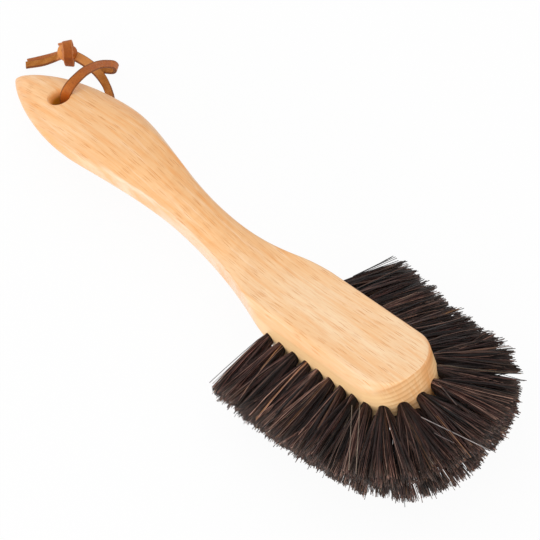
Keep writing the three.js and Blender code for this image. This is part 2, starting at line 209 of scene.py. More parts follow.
def beech():
    s = Shader("beech")
    # Back to the block's own axes, so that the grain runs along it
    own = s.add("Mapping", {
        "Vector": s.add("TexCoord").outputs["Object"], "Location": REST.to_translation(),
        "Rotation": (0, -math.atan2(TILT_SIN, TILT_COS), 0), "Scale": (MM, MM, MM),
    }, vector_type="TEXTURE").outputs[0]
    x, y, z = s.add("SeparateXYZ", {0: own}).outputs
    sway = s.vector("MULTIPLY", own, SWAY_SCALE)
    sway_y = s.math("MULTIPLY_ADD", s.noise(sway), SWAY, -SWAY / 2)
    sway_z = s.math("MULTIPLY_ADD", s.noise(s.vector("ADD", sway, SWAY_OTHER)), SWAY, -SWAY / 2)
    off_y = s.math("ADD", s.math("ADD", y, -PITH_Y), sway_y)
    off_z = s.math("ADD", s.math("ADD", z, -PITH_Z), sway_z)
    radius = s.diagonal(off_y, off_z)
    round_it = s.times(s.math("ARCTAN2", off_y, off_z), -PITH_Z)

    def grain(cell):
        """Wood coordinates, counted in cells."""
        long, wide, deep = cell
        parts = s.times(x, 1 / long), s.times(round_it, 1 / wide), s.times(radius, 1 / deep)
        return s.add("CombineXYZ", dict(enumerate(parts))).outputs[0]

    # Growth rings: light early wood that ends in a thin darker line
    uneven = s.noise(grain(RING_CELL))
    rings = s.math("FRACT", s.math("ADD", s.times(radius, 1 / RING_GAP), uneven))
    late = s.times(s.ramp(rings, 0.3, 0.9), s.ramp(rings, 1.0, 0.92))
    # Fibres and streaks along the length, and broad drifts of colour
    fibres = s.noise(grain(FIBRE_CELL), 1.0, 3.0, 0.6)
    streaks = s.noise(grain(STREAK_CELL), 1.0, 3.0, 0.6)
    drift = s.noise(grain(DRIFT_CELL))

    # Where the surface faces and where it lies on the block
    normal = s.add("TexCoord").outputs["Normal"]
    end = s.ramp(s.math("ABSOLUTE", s.dot(normal, (TILT_COS, 0, TILT_SIN))), 0.5, 0.9)
    sideways = s.math("ABSOLUTE", s.dot(normal, (0, 1, 0)))
    # Painted shade: the front edge's rounding darker where it faces away from the lamps
    facing_shaded_corner = s.ramp(s.dot(normal, SHADED_CORNER_WAY), 0.72, 0.95)
    corner_painted_shade = s.times(facing_shaded_corner, s.ramp(x, *FRONT_RUN))
    handle = s.ramp(x, *HANDLE_RUN)
    # Painted shade: the far half of the handle and neck darker and more orange, as if less lit from the
    # far side
    far_half_painted_shade = s.times(s.ramp(y, *FAR_SHADE_RUN), handle)
    # Painted shade: the sides of the handle and neck darker, to offset the light from the near side
    handle_side_painted_shade = s.times(s.ramp(sideways, 0.15, 0.6), s.ramp(x, *FLANK_SHADE_RUN))
    neck = s.times(s.ramp(x, *NECK_REAR_RUN), s.ramp(x, *NECK_FRONT_RUN))
    # Painted sheen: the neck's sides paler, as where they would reflect the bright floor and lamps
    neck_side_painted_sheen = s.times(neck, s.ramp(sideways, 0.52, 0.7))
    # The head's sides, where colour is painted: shade over the rounding so that it shows no highlight,
    # and light on the lower wall
    head_side_painted_zone = s.times(s.ramp(sideways, 0.3, 0.7), s.ramp(x, *HEAD_RUN))
    # Painted light: the lower part of the head's side walls paler, where the tufts shade them
    wall_painted_light = s.times(head_side_painted_zone, s.ramp(z, *WALL_LIGHT_RUN))
    from_hole = s.diagonal(s.math("ADD", x, BLOCK_LENGTH - HANG_FROM_END), y)

    def hole_painted_shade(out, down):
        """A share of painted shade that comes in between two gaps from the hole's wall and two depths
        in it.
        """
        near = s.ramp(from_hole, *(HANG_DIAMETER / 2 + gap for gap in out))
        return s.times(near, s.ramp(z, *(HANG_TOP - depth for depth in down)))

    # Rays: thin dark dashes on the long faces, fainter on the sides, and pale lines on the end grain
    marked = s.ramp(sideways, 0.6, 0.9, 1.0, 0.2)
    dashes = s.spots(grain(DASH_CELL))
    strong = s.ramp(s.add("SeparateColor", {0: dashes["Color"]}).outputs[0], 0.1, 1.0)
    dashes = s.times(s.times(s.ramp(dashes["Distance"], 0.36, 0.2), strong), marked)
    dashes = s.times(dashes, s.ramp(handle, 0.0, 1.0, 0.95, 0.9))
    specks = s.times(s.ramp(s.spots(grain(SPECK_CELL))["Distance"], 0.30, 0.14), marked)
    rays = s.noise(grain(RAY_CELL))
    # Strength of the streaks: real grain, stronger on the handle, and stronger on the far half as
    # painted shade
    streaks_with_far_shade = s.math("MULTIPLY_ADD", far_half_painted_shade, 0.4, s.math("MULTIPLY_ADD", handle, 0.25, 0.38))

    colour = s.between(s.ramp(drift, 0.35, 0.65), BEECH_TONES)
    # Tints in the order in which they are laid on: share, strength and colour
    for share, strength, other in (
        (handle, 0.85, (248, 194, 136)),
        # Painted shade on the far half
        (far_half_painted_shade, 0.3, (243, 176, 100)),
        (end, 0.6, (246, 190, 128)),
        # Painted shade on the sides of the handle and neck
        (handle_side_painted_shade, 0.65, (222, 174, 126)),
        # Painted shade on the head's rounded sides, which takes the highlight off them
        (head_side_painted_zone, 0.8, (234, 184, 134)),
        # Painted sheen on the neck's sides
        (neck_side_painted_sheen, 0.8, (233, 206, 179)),
        # Painted shade on the front's right corner
        (corner_painted_shade, 0.8, (224, 152, 84)),
        # Streaks of the grain, deepened on the far half as painted shade
        (s.times(s.ramp(streaks, 0.45, 0.72), streaks_with_far_shade), 1.0, (242, 166, 90)),
        (s.ramp(streaks, 0.46, 0.3), 0.36, (255, 220, 184)),
        (s.ramp(fibres, 0.42, 0.7), 0.42, (240, 176, 112)),
        # Painted light on the lower head walls
        (wall_painted_light, 0.9, (255, 212, 156)),
        (s.times(late, s.ramp(end, 0.0, 1.0, 0.1, 0.7)), 1.0, (222, 158, 98)),
        (s.times(dashes, s.ramp(end, 0.0, 1.0, 1.0, 0.1)), 1.0, (212, 134, 62)),
        (s.times(specks, s.ramp(end, 0.0, 1.0, 0.2, 0.05)), 1.0, (228, 164, 102)),
        (s.times(end, s.ramp(rays, 0.55, 0.75)), 0.6, (251, 210, 160)),
        # Painted shade: deeper orange in the dish of the hang hole's rim
        (hole_painted_shade((3.0, 1.0), (-0.2, 1.5)), 0.8, (246, 168, 88)),
        # Painted shade: dark deeper down the hang hole's bore
        (hole_painted_shade((1.2, 0.2), (1.8, 3.6)), 0.95, (208, 140, 30)),
    ):
        colour = s.tint(colour, s.times(share, strength), other)
    rough = s.ramp(fibres, 0.2, 0.8, 0.36, 0.48)
    height = s.math("SUBTRACT", s.times(fibres, 0.35), s.times(dashes, 0.2))
    return s.finish(colour, rough, 0.45, height, 0.04)


# Hair, leather and steel

HAIR_SHADE = (20, 13, 12)
# Grain side's tones and mottle, and the painted shade where the knot's band folds under
GRAIN_TONES, GRAIN_MOTTLE, GRAIN_FOLD_SHADE = ((170, 86, 18), (186, 104, 34)), (142, 70, 18), (146, 70, 8)
FLESH_TONES, FLESH_FUZZ = ((170, 102, 38), (194, 127, 62)), (134, 74, 22)
EDGE_TONES = (150, 86, 34), (110, 60, 22)
# Painted light: paler colours of the lace's flesh side and edges at the knot
FLESH_PAINTED_LIGHT, EDGE_PAINTED_LIGHT = (222, 148, 84), (214, 136, 84)
STEEL_TONES = (170, 172, 176), (205, 207, 210)


def horsehair():
    s = Shader("horsehair")
    place = s.millimetres()
    tone = s.add("VertexColor", layer_name="tone").outputs["Color"]
    drift = s.noise(place, 0.22)
    colour = s.tint(tone, s.ramp(drift, 0.3, 0.72, 0.0, 0.45), HAIR_SHADE)
    return s.finish(colour, s.ramp(s.noise(place, 0.9), 0.3, 0.7, 0.34, 0.5), 0.42)


def leather_grain():
    s = Shader("leather_grain")
    place = s.millimetres()
    drift = s.noise(place, 0.22, 3.0)
    mottle = s.noise(place, 1.5, 3.0, 0.6)
    pores = s.spots(place, 3.4)["Distance"]
    colour = s.between(s.ramp(drift, 0.32, 0.68), GRAIN_TONES)
    colour = s.tint(colour, s.ramp(mottle, 0.4, 0.72, 0.0, 0.5), GRAIN_MOTTLE)
    # Painted shade: darker where the knot's front band folds under
    along = s.along_knot(place, KNOT_ALONG)
    fold_shade = s.times(s.ramp(s.along_knot(place, KNOT_UP), -1.7, -2.3),
                   s.ramp(s.math("ABSOLUTE", along), 4.0, 3.4, 0.0, 0.75))
    colour = s.tint(colour, fold_shade, GRAIN_FOLD_SHADE)
    height = s.math("ADD", s.ramp(pores, 0.0, 0.5), s.times(mottle, 0.6))
    return s.finish(colour, s.ramp(mottle, 0.3, 0.7, 0.36, 0.5), 0.28, height, 0.05)


def leather_flesh():
    s = Shader("leather_flesh")
    place = s.millimetres()
    drift = s.noise(place, 0.3, 3.0)
    fuzz = s.noise(place, 2.6, 4.0, 0.7)
    colour = s.between(s.ramp(drift, 0.3, 0.7), FLESH_TONES)
    colour = s.tint(colour, s.ramp(fuzz, 0.42, 0.7, 0.0, 0.6), FLESH_FUZZ)
    # Painted light: paler at the knot and where the lace leaves it
    along = s.along_knot(place, KNOT_ALONG)
    painted_light = s.times(s.ramp(along, -4.2, -3.0), s.ramp(along, 17.0, 8.0, 0.0, 0.75))
    colour = s.tint(colour, painted_light, FLESH_PAINTED_LIGHT)
    return s.finish(colour, s.ramp(fuzz, 0.3, 0.7, 0.75, 0.92), 0.2, fuzz, 0.12)


def leather_edge():
    s = Shader("leather_edge")
    place = s.millimetres()
    layers = s.noise(place, 2.2, 3.0, 0.65)
    colour = s.between(s.ramp(layers, 0.35, 0.7), EDGE_TONES)
    along = s.along_knot(place, KNOT_ALONG)
    # Painted light: paler edges at the knot
    painted_light = s.ramp(s.math("ABSOLUTE", along), 4.2, 3.2, 0.0, 0.7)
    colour = s.tint(colour, painted_light, EDGE_PAINTED_LIGHT)
    return s.finish(colour, s.ramp(layers, 0.3, 0.7, 0.6, 0.8), 0.3, layers, 0.1)


def steel():
    s = Shader("anchor_steel")
    drawn = s.noise(s.vector("MULTIPLY", s.millimetres(), (6, 6, 0.6)))
    colour = s.between(drawn, STEEL_TONES)
    return s.finish(colour, s.ramp(drawn, 0.3, 0.7, 0.25, 0.45), 0.5, drawn, 0.02, Metallic=1.0)


BEECH = beech()
HAIR = horsehair()
GRAIN, FLESH, EDGE = leather_grain(), leather_flesh(), leather_edge()
STEEL = steel()


# Mesh helpers

def make(name, points, faces, materials, slots=None, at_rest=False):
    """A piece from points in millimetres, in the row frame, or in the block's with at_rest."""
    mesh = bpy.data.meshes.new(name)
    mesh.from_pydata((np.asarray(points) * MM).tolist(), [], faces)
    for material in materials:
        mesh.materials.append(material)
    if slots is not None:
        mesh.polygons.foreach_set("material_index", slots)
    mesh.shade_smooth()
    if at_rest:
        mesh.transform(REST)
    mesh.update()
    return placed(name, mesh)


def outward(piece):
    work = bmesh.new()
    work.from_mesh(piece.data)
    bmesh.ops.recalc_face_normals(work, faces=work.faces)
    work.to_mesh(piece.data)
    work.free()


def tube_faces(rings, count, closed=False):
    """Faces of a tube of rings with count points each: its sides, then its ends unless closed."""
    faces = []
    for i in range(rings if closed else rings - 1):
        a, b = i * count, (i + 1) % rings * count
        for j in range(count):
            k = (j + 1) % count
            faces.append((a + j, a + k, b + k, b + j))
    if not closed:
        last = (rings - 1) * count
        faces += [tuple(range(count))[::-1], tuple(range(last, last + count))]
    return faces


def joined(parts):
    """Several meshes as one: points, faces and material slots."""
    points, faces, slots, base = [], [], [], 0
    for p, f, s in parts:
        points.append(p)
        faces += [tuple(base + i for i in face) for face in f]
        slots += s
        base += len(p)
    return np.concatenate(points), faces, slots


def smoothstep(x, low, high):
    t = np.clip((x - low) / (high - low), 0, 1)
    return t * t * (3 - 2 * t)


def lerp(a, b, t):
    return a + (b - a) * t


def unit(v):
    return v / np.maximum(np.linalg.norm(v, axis=-1, keepdims=True), 1e-9)


def headings(line, closed=False):
    """The way ahead at each point of a line."""
    if closed:
        return unit(np.roll(line, -1, 0) - np.roll(line, 1, 0))
    return unit(np.gradient(line, axis=0))


def curve(points, steps, closed=False):
    """Points along a centripetal Catmull-Rom curve, and their places counted in route points."""
    points = np.asarray(points, float)
    if closed:
        first, last = points[-1:], points[:2]
    else:
        first, last = 2 * points[:1] - points[1:2], 2 * points[-1:] - points[-2:-1]
    padded = np.concatenate([first, points, last])
    line, counts = [], []
    for k in range(len(padded) - 3):
        p0, p1, p2, p3 = padded[k:k + 4]
        d0, d1, d2 = (max(np.linalg.norm(b - a), 1e-6) ** 0.5
                      for a, b in ((p0, p1), (p1, p2), (p2, p3)))
        t1 = ((p1 - p0) / d0 - (p2 - p0) / (d0 + d1) + (p2 - p1) / d1) * d1
        t2 = ((p2 - p1) / d1 - (p3 - p1) / (d1 + d2) + (p3 - p2) / d2) * d1
        for t in np.arange(steps) / steps:
            line.append(p1 + t1 * t + (-3 * p1 + 3 * p2 - 2 * t1 - t2) * t ** 2
                        + (2 * p1 - 2 * p2 + t1 + t2) * t ** 3)
            counts.append(k + t)
    if not closed:
        line.append(points[-1])
        counts.append(len(points) - 1)
    return np.array(line), np.array(counts)


# Lace: the routes of the solids, raised and turned a little under the handle. Points are from the
# floor below the hang hole, each with a turn in degrees

LACE_WIDTH, LACE_THICKNESS, TAIL_WIDTH = 3.1, 1.2, 3.0
LACE_STEPS = 6
LACE_CREASE = 50
# Corner radii of the lace's section on its flesh side and its grain side
FLESH_CORNER, GRAIN_CORNER = 0.22, 0.36
GRAIN_SLOT, FLESH_SLOT, EDGE_SLOT = 0, 1, 2
LOOP_ROUTE = [
    (-25.1, 23.6, 2.9, 0), (-21.9, 24.2, 2.8, 0), (-18, 24.6, 2.6, 0), (-13.8, 24.4, 2.5, 0),
    (-10.7, 24, 2, 0), (-7.6, 23.3, 1.4, 10), (-4.2, 22, 1.5, 28), (0.6, 19.4, 1.6, 30),
    (4, 14.6, 1.5, 15), (4.6, 8.6, 2, 0), (2.6, 3.6, 4.2, 5), (0.8, 1, 8.6, 25),
    (-0.1, 0.9, 13.4, 45), (-0.4, 1.9, 17.9, 60), (0, 3.2, 20.9, 65), (-0.2, 5.4, 22.2, 65),
    (-1, 8.4, 22.3, 65), (-2.7, 13.1, 21.1, 65), (-4.7, 17.9, 18.3, 75), (-6.8, 22.6, 14.5, 85),
    (-8.1, 26.7, 10.4, 95), (-8.7, 29.2, 7.4, 105), (-9.2, 30.1, 4.6, 113), (-10.9, 29.8, 2.2, 113),
    (-13.7, 28.5, 1.1, 113), (-17, 26.7, 0.9, 113), (-21, 25.5, 0.9, 113), (-26.3, 24.6, 0.9, 113),
]
# The route point in the hole, where the lace under the handle and the lace over it meet
BORE_POINT = 12
# Widths by route point: the lace spreads where it leaves the knot and over the hole's rim
LOOP_WIDTHS = (
    (0, 4.1), (2, 4), (5, 3.1), (11, 3.1), (13, 4.2), (15, 4), (17, 3.6), (19, 3.1), (27, 3.1),
)
REAR_TAIL_ROUTE = [
    (-32.6, 19.6, 2.4, 0), (-35.1, 17.4, 1, 0), (-36.7, 14.6, 0.8, 0), (-39.6, 9.3, 0.8, 0),
]
FRONT_TAIL_ROUTE = [
    (-30.9, 17.4, 3.5, 0), (-32.4, 15, 2.7, 0), (-33.9, 12.4, 2.3, 0), (-37.5, 7.3, 2.2, 0),
]
# Ends of the routes inside the knot
LOOP_START, LOOP_END = (-27.4, 22.6, 3.6), (-28.6, 23.2, 2.2)
REAR_TAIL_START, FRONT_TAIL_START = (-30.2, 20.9, 3.6), (-29.7, 19.3, 4.2)


def turn_about(v, axis, angle):
    c, s = math.cos(angle), math.sin(angle)
    return v * c + np.cross(axis, v) * s + axis * (axis @ v) * (1 - c)


def carried(line, turns, face):
    """The flesh side's normal along a line, carried without twisting apart from the turns."""
    ahead = headings(line)
    faces = []
    for i, way in enumerate(ahead):
        if i:
            axis = np.cross(ahead[i - 1], way)
            size = np.linalg.norm(axis)
            if size > 1e-9:
                face = turn_about(face, axis / size, math.asin(min(1.0, size)))
        face = unit(face - way * (face @ way))
        faces.append(turn_about(face, way, math.radians(turns[i])))
    return np.array(faces)


def lace_outline(width, thick):
    """Section of a cut lace: flat flesh side up, softly rounded grain side down."""
    w, h = width / 2, thick / 2
    corners = (
        (w, h, 0, FLESH_CORNER, FLESH_SLOT), (-w, h, 90, FLESH_CORNER, EDGE_SLOT),
        (-w, -h, 180, GRAIN_CORNER, GRAIN_SLOT), (w, -h, 270, GRAIN_CORNER, EDGE_SLOT),
    )
    ring, slots = [], []
    for cx, cy, start, r, next_slot in corners:
        for step in (0, 30, 60, 90):
            a = math.radians(start + step)
            ring.append((cx - math.copysign(r, cx) + r * math.cos(a),
                         cy - math.copysign(r, cy) + r * math.sin(a)))
            slots.append(next_slot if step == 90 else EDGE_SLOT)
    return np.array(ring), slots


def ribbon(line, faces, width=LACE_WIDTH, thick=LACE_THICKNESS, closed=False, widths=None):
    """Points, faces and material slots of a flat lace along a line."""
    outline, sides = lace_outline(width, thick)
    across = np.cross(faces, headings(line, closed))
    scale = np.ones(len(line)) if widths is None else widths / width
    points = (line[:, None] + outline[None, :, 0, None] * (across * scale[:, None])[:, None]
              + outline[None, :, 1, None] * faces[:, None])
    quads = tube_faces(len(line), len(outline), closed)
    slots = sides * len(line) if closed else sides * (len(line) - 1) + [EDGE_SLOT] * 2
    return points.reshape(-1, 3), quads, slots


def lace_piece(name, node, *parts):
    points, faces, slots = joined(parts)
    piece = make(name, points, faces, [GRAIN, FLESH, EDGE], slots)
    outward(piece)
    piece.data.set_sharp_from_angle(angle=math.radians(LACE_CREASE))
    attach(piece, "thong")
    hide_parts(node)
    return piece


def laid(route, start, end=None):
    """A route's line in the row frame, with its ends in the knot, and its flesh-side normals."""
    spots, turns = [start, *(p[:3] for p in route)], [p[3] for p in route]
    turns = [turns[0], *turns]
    if end is not None:
        spots, turns = [*spots, end], [*turns, turns[-1]]
    line, counts = curve(spots, LACE_STEPS)
    faces = carried(line, np.interp(counts, range(len(turns)), turns), np.array([0.0, 0, 1]))
    return line + HOLE_FLOOR, faces


def make_lace():
    line, faces = laid(LOOP_ROUTE, LOOP_START, LOOP_END)
    widths = np.interp(np.arange(len(line)) / LACE_STEPS - 1, *zip(*LOOP_WIDTHS))
    split = (BORE_POINT + 1) * LACE_STEPS
    under, over = line[split::-1], line[split:]
    rear, rear_faces = laid(REAR_TAIL_ROUTE, REAR_TAIL_START)
    front, front_faces = laid(FRONT_TAIL_ROUTE, FRONT_TAIL_START)
    over_piece = lace_piece(
        "lace_over", "thong_loop", ribbon(over, faces[split:], widths=widths[split:]))
    under_piece = lace_piece(
        "lace_under", "thong_loop", ribbon(under, faces[split::-1], widths=widths[split::-1]))
    tails = [
        lace_piece("lace_tail_rear", "thong_tail_rear", ribbon(rear, -rear_faces, TAIL_WIDTH)),
        lace_piece("lace_tail_front", "thong_tail_front", ribbon(front, front_faces, TAIL_WIDTH)),
    ]
    knot = lace_piece("lace_knot", "thong_knot", *knot_parts())


# Knot, in its own axes: a closed front band, whose points have their widths too, and open strips
# at its left, top and right round a core

KNOT_STEPS = 8
KNOT_BAND = [
    (-0.1, 3.6, -1.6, 3.7), (0.0, 4.2, 0.3, 3.8), (0.4, 3.4, 2.3, 3.9), (1.0, 1.0, 3.2, 4.0),
    (1.2, -1.2, 3.1, 3.9), (1.2, -1.7, 2.8, 3.9), (1.3, -3.5, 1.4, 3.8), (1.2, -4.6, -0.4, 3.5),
    (0.9, -3.5, -2.1, 3.4), (0.6, -0.6, -3.0, 3.4), (0.2, 2.0, -2.8, 3.6),
]
KNOT_LEFT = [
    (-0.9, 3.0, -2.2), (-1.6, 3.1, -0.2), (-1.9, 1.8, 1.6), (-2.0, 0.2, 2.1), (-1.2, -1.3, 2.0),
    (0.2, -2.2, 1.3),
]
KNOT_TOP = [(1.4, 3.4, -0.9), (-0.6, 3.6, -0.7), (-2.2, 3.5, -0.8), (-3.4, 3.2, -1.0)]
KNOT_RIGHT = [
    (1.7, 1.9, 1.1), (2.7, 1.5, 1.4), (3.3, 0.2, 1.4), (2.9, -1.2, 1.3), (2.0, -2.4, 0.9),
]
# The core, a squared lump: rings, points a ring, half sizes, middle, and how square it is
CORE_RINGS, CORE_SIDES = 13, 24
CORE_SIZE, CORE_MIDDLE, CORE_POWER = (2.4, 2.4, 2.2), (-0.1, 0.1, -0.2), 0.75


def knot_place(points):
    return points @ KNOT_AXES + KNOT_PLACE + HOLE_FLOOR


def knot_strip(points, core, width, thick, grain_out=True, closed=False, bow=0.0):
    """A strip of the knot through points, its face turned away from a core that bows along it."""
    spots = np.asarray(points, float)
    line, counts = curve(spots[:, :3], KNOT_STEPS, closed)
    ahead = headings(line, closed)
    face = line - core
    face[:, 0] -= bow * line[:, 1] ** 2
    face = unit(face - ahead * (face * ahead).sum(1, keepdims=True))
    if grain_out:
        face = -face
    widths = None
    if closed:
        around = np.append(spots[:, 3], spots[0, 3])
        widths = np.interp(counts, np.arange(len(around)), around)
    return ribbon(knot_place(line), face @ KNOT_AXES, width, thick, closed, widths)


def knot_core():
    v = math.pi * np.arange(1, CORE_RINGS + 1)[:, None] / (CORE_RINGS + 1)
    u = 2 * math.pi * np.arange(CORE_SIDES) / CORE_SIDES
    ball = np.stack([np.cos(v) + 0 * u, np.sin(v) * np.cos(u), np.sin(v) * np.sin(u)], 2).reshape(-1, 3)
    points = np.sign(ball) * np.abs(ball) ** CORE_POWER * CORE_SIZE + CORE_MIDDLE
    faces = tube_faces(CORE_RINGS, CORE_SIDES)
    return knot_place(points), faces, [EDGE_SLOT] * len(faces)


def knot_parts():
    return [
        knot_core(),
        knot_strip(KNOT_BAND, core=(-0.9, -0.3, 0), width=3.6, thick=1.1, closed=True, bow=0.11),
        knot_strip(KNOT_LEFT, core=(0.4, -0.2, -0.8), width=3.0, thick=1.0, grain_out=False),
        knot_strip(KNOT_TOP, core=(-1.0, -3.0, -1.2), width=2.6, thick=0.9),
        knot_strip(KNOT_RIGHT, core=(0.2, 0, -0.6), width=2.6, thick=1.0),
    ]


make_lace()


# Block: the solid's outline on a finer grid, with edges eased as the photograph shows

BELLY_FROM_END, BELLY_WIDTH = 60, 30.8
NECK_FROM_END, NECK_WIDTH = 123, 16
HEAD_LENGTH, HEAD_RADIUS = 78, 15.3
HANDLE_THICKNESS, NECK_THICKNESS, HEAD_THICKNESS = 12.4, 14.4, 20
HANDLE_RISE, CRANK_FROM_END, CRANK_PAST_SHOULDER = 26, 65, 6
END_DROP, END_DROP_LENGTH = 4, 36
NOSE_SIZE, NOSE_PLAN_POWER, NOSE_SIDE_POWER, NOSE_SIDE_REACH = 0.6, 0.92, 0.6, 6
SHOULDER_POWER, HANDLE_CORNER_SHARE = 2.2, 0.92
FAR_EDGE_RADIUS, NEAR_EDGE_RADIUS, FRONT_EDGE_RADIUS, LOWER_EDGE_RADIUS = 1.2, 4.5, 0.5, 1.6
NECK_EDGE_RADIUS, NECK_DOME_SHARE, SHOULDER_EASE, SHOULDER_SAMPLES = 1.2, 0.3, 9, 6
# Stretches from the handle's end over which the edges change
NECK_EDGE_RUN, NEAR_EDGE_RUN, LOWER_EDGE_RUN = (42, 100), (162, 186), (150, 215)
SHOULDER = BLOCK_LENGTH - HEAD_LENGTH
CRANK_TO = SHOULDER + CRANK_PAST_SHOULDER
FRONT_CENTRE = -HEAD_RADIUS
# Turns round the front, in radians from its far and its near end, over which its edge gets crisp
FAR_CRISP, NEAR_CRISP = (0.55, 1.5), (0.35, 1.3)
# Grid: rings along the handle, closer at its end, and the head, turns of the front, steps of a
# section's flats and corners
HANDLE_RINGS, HANDLE_RING_POWER, HEAD_RINGS, FRONT_TURNS = 150, 1.35, 30, 60
FLAT_STEPS, CORNER_STEPS = 5, 10
BLOCK_CREASE = 40


def half_width(s):
    if s < BELLY_FROM_END:
        back = 1 - s / BELLY_FROM_END
        return max(NOSE_SIZE / 2, BELLY_WIDTH / 2 * (1 - back ** 2) ** NOSE_PLAN_POWER)
    if s < NECK_FROM_END:
        return lerp(BELLY_WIDTH / 2, NECK_WIDTH / 2, smoothstep(s, BELLY_FROM_END, NECK_FROM_END))
    out = min(1, (s - NECK_FROM_END) / (SHOULDER - NECK_FROM_END))
    return lerp(NECK_WIDTH / 2, HEAD_RADIUS, out ** SHOULDER_POWER)


def eased_width(s):
    """The half width with the shoulder's corner rounded off."""
    ease = SHOULDER_EASE * smoothstep(s, NECK_FROM_END, SHOULDER - SHOULDER_EASE)
    return np.mean([half_width(s + ease * i / SHOULDER_SAMPLES)
                    for i in range(-SHOULDER_SAMPLES, SHOULDER_SAMPLES + 1)])


def thickness(s):
    if s < BELLY_FROM_END:
        back = 1 - s / BELLY_FROM_END
        return max(NOSE_SIZE, HANDLE_THICKNESS * (1 - back ** NOSE_SIDE_REACH) ** NOSE_SIDE_POWER)
    waist = lerp(HANDLE_THICKNESS, NECK_THICKNESS, smoothstep(s, BELLY_FROM_END, NECK_FROM_END))
    return lerp(waist, HEAD_THICKNESS, smoothstep(s, NECK_FROM_END, SHOULDER))


def middle(s):
    bend = smoothstep(s, CRANK_FROM_END, CRANK_TO)
    drop = END_DROP * max(0, 1 - s / END_DROP_LENGTH) ** 2
    return -HEAD_THICKNESS / 2 + HANDLE_RISE * (1 - bend) - drop


def half_section(w, h, top, low, dome=0.0):
    """Half a rounded section from top centre round one side to bottom centre."""
    (a, b), (c, d) = top, low
    points = [(lerp(0, w - a, i / FLAT_STEPS), h) for i in range(FLAT_STEPS)]
    for i in range(CORNER_STEPS):
        angle = math.pi / 2 * (1 - i / CORNER_STEPS)
        points.append((w - a + a * math.cos(angle), h - b + b * math.sin(angle)))
    points = [(y, z - dome * (y / w) ** 2) for y, z in points]
    points += [(w, lerp(h - b - dome, d - h, i / FLAT_STEPS)) for i in range(FLAT_STEPS)]
    for i in range(CORNER_STEPS):
        angle = -math.pi / 2 * i / CORNER_STEPS
        points.append((w - c + c * math.cos(angle), d - h + d * math.sin(angle)))
    points += [(lerp(w - c, 0, i / FLAT_STEPS), -h) for i in range(FLAT_STEPS + 1)]
    return np.array(points)


def block_mesh():
    spots = np.concatenate([
        SHOULDER * np.linspace(0, 1, HANDLE_RINGS)[:-1] ** HANDLE_RING_POWER,
        np.linspace(SHOULDER, BLOCK_LENGTH + FRONT_CENTRE, HEAD_RINGS),
    ])
    points = []
    for s in spots:
        w, h = eased_width(s), thickness(s) / 2
        square = smoothstep(s, NECK_FROM_END, SHOULDER)
        edged = smoothstep(s, *NECK_EDGE_RUN)
        soft = (w * HANDLE_CORNER_SHARE, h * HANDLE_CORNER_SHARE)
        square_low = smoothstep(s, *LOWER_EDGE_RUN)
        low = tuple(lerp(v, LOWER_EDGE_RADIUS, square_low) for v in soft)
        halves = []
        square_near = smoothstep(s, *NEAR_EDGE_RUN)
        for radius, share in ((FAR_EDGE_RADIUS, square), (NEAR_EDGE_RADIUS, square_near)):
            edge = lerp(NECK_EDGE_RADIUS, radius, share)
            top = tuple(lerp(v, edge, edged) for v in soft)
            halves.append(half_section(w, h, top, low, NECK_DOME_SHARE * h * edged * (1 - square)))
        far, near = halves
        ring = np.concatenate([far, near[-2:0:-1] * (-1, 1)])
        points += [(s - BLOCK_LENGTH, y, z + middle(s)) for y, z in ring]
    count, side = len(ring), len(far)
    # The last ring stays open: the rounded front closes it
    faces = tube_faces(len(spots), count)[:-1]
    # Rounded front: the half section swung from one side to the other
    last = (len(spots) - 1) * count
    rows = [[last + j for j in range(side)]]
    for i in range(1, FRONT_TURNS):
        angle = math.pi * i / FRONT_TURNS
        crisp = smoothstep(angle, *FAR_CRISP) * smoothstep(math.pi - angle, *NEAR_CRISP)
        r = lerp(lerp(FAR_EDGE_RADIUS, NEAR_EDGE_RADIUS, i / FRONT_TURNS), FRONT_EDGE_RADIUS, crisp)
        swung = half_section(HEAD_RADIUS, HEAD_THICKNESS / 2, (r, r), (LOWER_EDGE_RADIUS,) * 2)
        row = [last]
        for y, z in swung[1:-1]:
            row.append(len(points))
            points.append((FRONT_CENTRE + y * math.sin(angle), y * math.cos(angle),
                           z - HEAD_THICKNESS / 2))
        rows.append(row + [last + side - 1])
    rows.append([last] + [last + count - j for j in range(1, side - 1)] + [last + side - 1])
    for a, b in zip(rows, rows[1:]):
        for j in range(side - 1):
            face = [a[j], a[j + 1], b[j + 1], b[j]]
            faces.append(tuple(dict.fromkeys(face)))
    return points, faces


# Holes and tuft seats

TUFT_PITCH, REAR_TUFT_GAP, REAR_STRETCH = 7.1, 7.7, 2.2
TUFT_HOLE_DIAMETER, TUFT_HOLE_DEPTH, TUFT_HOLE_SIDES = 4.2, 5.2, 20
HANG_SIDES, HANG_EASE_STEPS = 48, 10
# How far the hang hole's cutter stands proud of the wood, and the flare of its end
CUT_PROUD, FLARE_WIDE, FLARE_HIGH = 0.25, 1.2, 0.5
ARC_HALF = HEAD_RADIUS * math.pi / 2
ROW_HALF = ARC_HALF + HEAD_LENGTH - HEAD_RADIUS - REAR_TUFT_GAP
PITCHES_HALF = int(ROW_HALF // TUFT_PITCH)
PITCH = ROW_HALF / PITCHES_HALF
# Depth below the head's top, droop in degrees and more of it on the far side, hair length, shift
# along the row in pitches, and seed of the hair
ROWS = {
    "upper": dict(depth=11.2, droop=12.6, far_droop=9.5, length=27.4, shift=0.0, seed=11),
    "lower": dict(depth=16.5, droop=26.0, far_droop=6.0, length=25.3, shift=0.5, seed=23),
}


